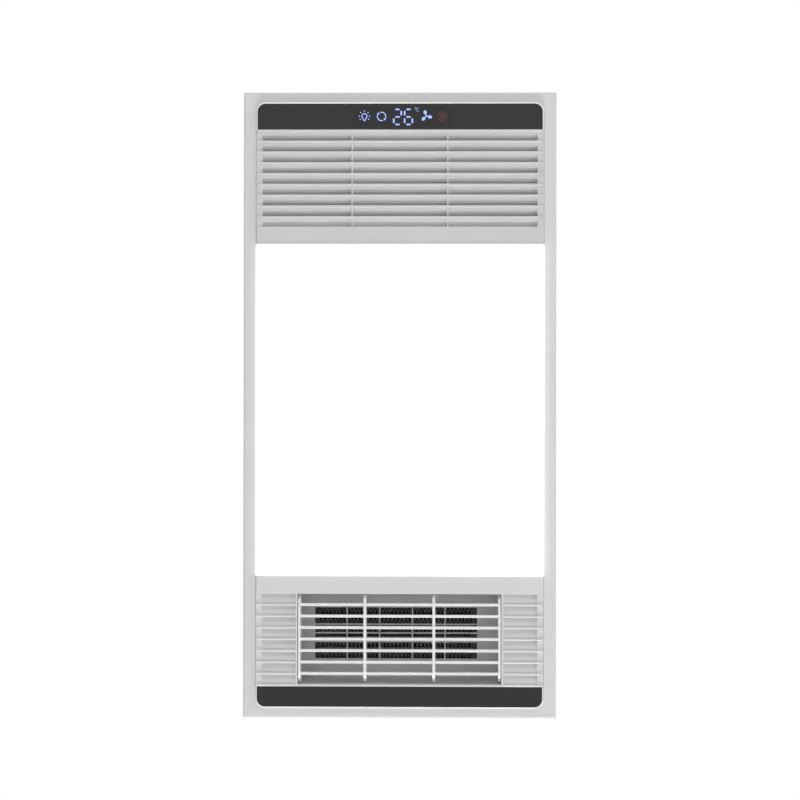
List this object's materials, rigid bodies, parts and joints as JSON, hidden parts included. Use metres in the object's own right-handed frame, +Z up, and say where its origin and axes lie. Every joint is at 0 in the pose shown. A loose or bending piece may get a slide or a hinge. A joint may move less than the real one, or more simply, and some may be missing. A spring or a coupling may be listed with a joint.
{
  "type": "ceiling bathroom heater with exhaust fan and light",
  "caption": "Ceiling bathroom unit that heats, ventilates and lights a room through one slatted face panel, with a swinging outlet grille, a display strip and a round exhaust spigot.",
  "frame": {"origin": "centre of the four ceiling fixing holes, in the ceiling plane on top of the panel rim", "axes": "+X across the panel, to the right as someone below reads the display; +Y along the panel, from the display to the warm air outlet; +Z up into the ceiling"},
  "size_m": [0.3, 0.6, 0.1626],
  "materials": {
    "panel_plastic": "satin moulded",
    "dark_glass": "smoked, glossy",
    "diffuser": "opal",
    "sheet_steel": "galvanised",
    "fasteners": "zinc plated",
    "led_white": "white coated",
    "white_plastic": "moulded",
    "pcb": "lacquered",
    "black_plastic": "moulded",
    "grey_plastic": "moulded",
    "motor_steel": "plated",
    "brass": "plain",
    "aluminium": "mill",
    "heater_black": "black coated",
    "duct_plastic": "moulded",
    "rubber": "moulded",
    "components": "mixed"
  },
  "bodies": {
    "unit": {"face_frame": "panel_plastic", "intake_grille": "panel_plastic", "outlet_grille": "panel_plastic", "display_window": "dark_glass", "lower_window": "dark_glass", "light_diffuser": "diffuser", "light_tray": "sheet_steel", "led_boards": "led_white", "led_driver": "white_plastic", "display_board": "pcb", "display_module": "black_plastic", "panel_clips": "sheet_steel", "panel_screws": "fasteners", "swing_bush": "grey_plastic", "swing_motor": "motor_steel", "swing_motor_screws": "fasteners", "outlet_duct": "grey_plastic", "heater_guard": "grey_plastic", "heater_tubes": "aluminium", "heater_fins": "heater_black", "heater_end_caps": "black_plastic", "heater_terminals": "brass", "thermal_cutout": "black_plastic", "heater_hood": "duct_plastic", "changeover_duct": "duct_plastic", "changeover_bush": "grey_plastic", "changeover_motor": "motor_steel", "scroll_casing": "duct_plastic", "inlet_ring": "duct_plastic", "fan_motor": "motor_steel", "motor_bearings": "motor_steel", "motor_feet": "rubber", "motor_screws": "fasteners", "blower_brackets": "sheet_steel", "housing": "sheet_steel", "housing_screws": "fasteners", "exhaust_spigot": "white_plastic", "spigot_seal": "rubber", "spigot_screws": "fasteners", "valve_pin": "motor_steel", "terminal_box": "white_plastic", "terminal_lid": "white_plastic", "terminal_block": "white_plastic", "terminal_screws": "fasteners", "cable_grommet": "rubber", "control_board": "pcb", "board_components": "components", "board_standoffs": "brass", "run_capacitor": "white_plastic", "hanging_brackets": "sheet_steel", "bracket_screws": "fasteners"},
    "swing": {"swing_grille": "panel_plastic", "swing_motor_shaft": "brass"},
    "wheel": {"blower_wheel": "aluminium", "wheel_nut": "fasteners", "motor_shaft": "motor_steel"},
    "changeover": {"changeover_flap": "white_plastic"},
    "leaf_front": {"valve_leaf_front": "black_plastic"},
    "leaf_rear": {"valve_leaf_rear": "black_plastic"}
  },
  "joints": [
    {"name": "outlet_swing", "type": "hinge", "parent": "unit", "child": "swing", "pos_m": [0, 0.2242, 0.002], "axis": [1, 0, 0], "range_deg": [-40, 40]},
    {"name": "fan_spin", "type": "hinge", "parent": "unit", "child": "wheel", "pos_m": [-0.014, -0.11, 0.077], "axis": [0, 0, 1], "continuous": true},
    {"name": "changeover", "type": "hinge", "parent": "unit", "child": "changeover", "pos_m": [0.0913, 0.113, 0.077], "axis": [0, 0, -1], "range_deg": [0, 63]},
    {"name": "valve_front", "type": "hinge", "parent": "unit", "child": "leaf_front", "pos_m": [0.1045, 0.06, 0.078], "axis": [0, 0, 1], "range_deg": [0, 75], "stiffness_Nm_per_rad": 0.002},
    {"name": "valve_rear", "type": "hinge", "parent": "unit", "child": "leaf_rear", "pos_m": [0.1045, 0.06, 0.078], "axis": [0, 0, -1], "range_deg": [0, 75], "stiffness_Nm_per_rad": 0.002}
  ]
}
